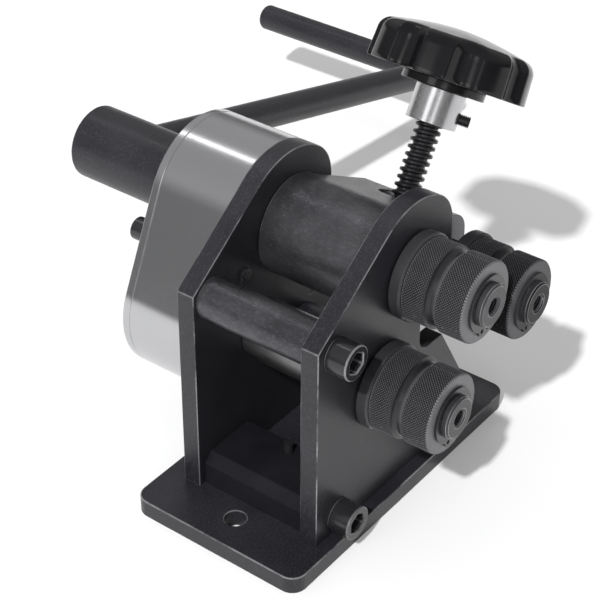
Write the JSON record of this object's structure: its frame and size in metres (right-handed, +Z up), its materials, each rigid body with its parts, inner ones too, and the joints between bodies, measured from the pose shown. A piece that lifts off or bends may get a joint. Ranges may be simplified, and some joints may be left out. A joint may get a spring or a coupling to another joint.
{
  "type": "manual roll bender",
  "caption": "Hand-cranked roll bender: geared grooved rollers on side plates, and a bending roller on a swing arm set by a screw with a star knob.",
  "frame": {"origin": "centre of the base plate's underside, midway between its two mounting holes", "axes": "+X along the base towards the hand screw's side, +Y towards the gear housing and the crank, +Z up"},
  "size_m": [0.4089, 0.3687, 0.2168],
  "materials": {
    "black_steel": "black oxide, satin",
    "black_screws": "black oxide",
    "roller_steel": "black oxide, knurled",
    "shaft_steel": "dark turned steel",
    "bare_steel": "machined",
    "bronze": "machined bronze",
    "housing_metal": "satin, ground",
    "spindle_steel": "black oxide thread",
    "collar_metal": "turned",
    "black_plastic": "glossy black moulding"
  },
  "bodies": {
    "frame": {"base_plate": "black_steel", "front_plate": "black_steel", "rear_plate": "black_steel", "upper_tie_rod": "black_steel", "lower_tie_block": "black_steel", "front_tie_screws": "black_screws", "rear_tie_screws": "black_screws", "base_screws": "black_screws", "block_screw": "black_screws", "front_bushes": "bronze", "rear_bushes": "bronze", "cover_bushes": "bronze", "gear_housing": "housing_metal", "housing_cover": "housing_metal", "housing_screws": "black_screws", "housing_washers": "black_screws", "anchor_bar": "black_steel", "thrust_washer": "bronze"},
    "crank": {"drive_shaft": "shaft_steel", "drive_gear": "bare_steel", "drive_gear_key": "bare_steel", "roller_a_key": "bare_steel", "roller_a_flange": "roller_steel", "roller_a_ring": "roller_steel", "roller_a_disc": "roller_steel", "retaining_ring_a": "black_screws", "crank_hub": "black_steel", "crank_arm": "black_steel", "crank_handle": "black_steel", "crank_set_screws": "black_screws"},
    "lower_roller": {"driven_shaft": "shaft_steel", "driven_gear": "bare_steel", "driven_gear_key": "bare_steel", "roller_b_key": "bare_steel", "spacer_tube": "bare_steel", "roller_b_flange": "roller_steel", "roller_b_ring": "roller_steel", "roller_b_disc": "roller_steel", "retaining_ring_b": "black_screws"},
    "arm": {"swing_arm": "black_steel", "arm_bushes": "bronze", "third_stud": "shaft_steel", "retaining_ring_c": "black_screws"},
    "bending_roller": {"roller_c_bush": "bronze", "roller_c_flange": "roller_steel", "roller_c_ring": "roller_steel", "roller_c_disc": "roller_steel"},
    "nut": {"spindle_nut": "shaft_steel"},
    "hand_screw": {"spindle": "spindle_steel", "spindle_ring": "black_screws", "clamp_collar": "collar_metal", "grub_screw": "black_screws", "knob_flange": "black_plastic", "star_knob": "black_plastic"}
  },
  "joints": [
    {"name": "crank_spin", "type": "hinge", "parent": "frame", "child": "crank", "pos_m": [0.006, 0, 0.1305], "axis": [0, 1, 0], "continuous": true},
    {"name": "lower_roller_spin", "type": "hinge", "parent": "frame", "child": "lower_roller", "pos_m": [-0.01749, 0, 0.07966], "axis": [0, 1, 0], "continuous": true},
    {"name": "bending_roller_spin", "type": "hinge", "parent": "arm", "child": "bending_roller", "pos_m": [0.04877, 0, 0.10805], "axis": [0, 1, 0], "continuous": true},
    {"name": "hand_screw_turn", "type": "hinge", "parent": "frame", "child": "hand_screw", "pos_m": [0.04386, -0.0025, 0.10702], "axis": [0.527, 0, 0.8499], "range_deg": [-540, 1080]},
    {"name": "nut_slide", "type": "slide", "parent": "frame", "child": "nut", "axis": [0.527, 0, 0.8499], "range_m": [-0.01202, 0.00602]},
    {"name": "arm_swing", "type": "hinge", "parent": "frame", "child": "arm", "pos_m": [0.006, 0, 0.1305], "axis": [0, 1, 0], "range_deg": [-7.1, 14.1]}
  ],
  "couplings": [
    {"joint": "lower_roller_spin", "follows": "crank_spin", "ratio": -1},
    {"joint": "nut_slide", "follows": "hand_screw_turn", "m_per_rad": -0.00063662},
    {"joint": "arm_swing", "follows": "hand_screw_turn", "ratio": 0.012987}
  ]
}
